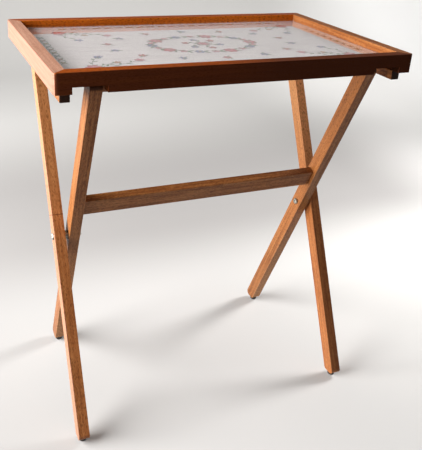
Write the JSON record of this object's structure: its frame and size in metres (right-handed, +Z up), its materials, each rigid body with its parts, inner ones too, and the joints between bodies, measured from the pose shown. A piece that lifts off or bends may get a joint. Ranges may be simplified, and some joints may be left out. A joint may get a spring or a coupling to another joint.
{
  "type": "tv tray table",
  "caption": "Folding wooden tray table: framed tray with glass over a floral needlework cloth, on crossed scissor legs joined by a stretcher.",
  "frame": {"origin": "on the floor under the middle of the tray", "axes": "+Z up, +X to the right, the front rail with its notches faces -Y"},
  "size_m": [0.6, 0.372, 0.668],
  "materials": {
    "tray_wood": "dark brown varnished hardwood, satin",
    "leg_wood": "mid brown varnished hardwood, satin",
    "board_wood": "bare plywood",
    "cloth_linen": "off-white linen with needlework flowers",
    "pane_glass": "clear flat glass",
    "pivot_steel": "plated steel",
    "glide_black": "black plastic"
  },
  "bodies": {
    "inner_frame": {"inner_leg_left": "leg_wood", "inner_leg_right": "leg_wood", "stretcher": "leg_wood", "top_bar": "leg_wood", "glide_back_left": "glide_black", "glide_back_right": "glide_black", "pivot_bolt_left": "pivot_steel", "pivot_nut_left": "pivot_steel", "pivot_spacer_left": "pivot_steel", "pivot_bolt_right": "pivot_steel", "pivot_nut_right": "pivot_steel", "pivot_spacer_right": "pivot_steel"},
    "outer_leg_left": {"outer_leg_left": "leg_wood", "glide_front_left": "glide_black"},
    "outer_leg_right": {"outer_leg_right": "leg_wood", "glide_front_right": "glide_black"},
    "hinge_pins": {"hinge_bolt_left": "pivot_steel", "hinge_nut_left": "pivot_steel", "hinge_spacer_left": "pivot_steel", "hinge_bolt_right": "pivot_steel", "hinge_nut_right": "pivot_steel", "hinge_spacer_right": "pivot_steel"},
    "tray": {"front_rail": "tray_wood", "back_rail": "tray_wood", "left_rail": "tray_wood", "right_rail": "tray_wood", "left_batten": "tray_wood", "right_batten": "tray_wood", "left_batten_screw_1": "pivot_steel", "left_batten_screw_2": "pivot_steel", "left_batten_screw_3": "pivot_steel", "right_batten_screw_1": "pivot_steel", "right_batten_screw_2": "pivot_steel", "right_batten_screw_3": "pivot_steel", "backing_board": "board_wood", "embroidered_cloth": "cloth_linen", "glass_pane": "pane_glass"}
  },
  "joints": [
    {"name": "leg_fold", "type": "hinge", "parent": "inner_frame", "child": "outer_leg_left", "pos_m": [0, -0.01117, 0.327], "axis": [1, 0, 0], "range_deg": [0, 50]},
    {"name": "right_leg_fold", "type": "hinge", "parent": "inner_frame", "child": "outer_leg_right", "pos_m": [0, -0.01117, 0.327], "axis": [1, 0, 0], "range_deg": [0, 50]},
    {"name": "hinge_turn", "type": "hinge", "parent": "outer_leg_left", "child": "hinge_pins", "pos_m": [0, 0.137, 0.6292], "axis": [-1, 0, 0], "range_deg": [0, 26]},
    {"name": "tray_lift", "type": "hinge", "parent": "hinge_pins", "child": "tray", "pos_m": [0, 0.137, 0.6292], "axis": [-1, 0, 0], "range_deg": [0, 70]}
  ],
  "couplings": [
    {"joint": "right_leg_fold", "follows": "leg_fold", "ratio": 1},
    {"joint": "hinge_turn", "follows": "leg_fold", "ratio": 0.52}
  ]
}
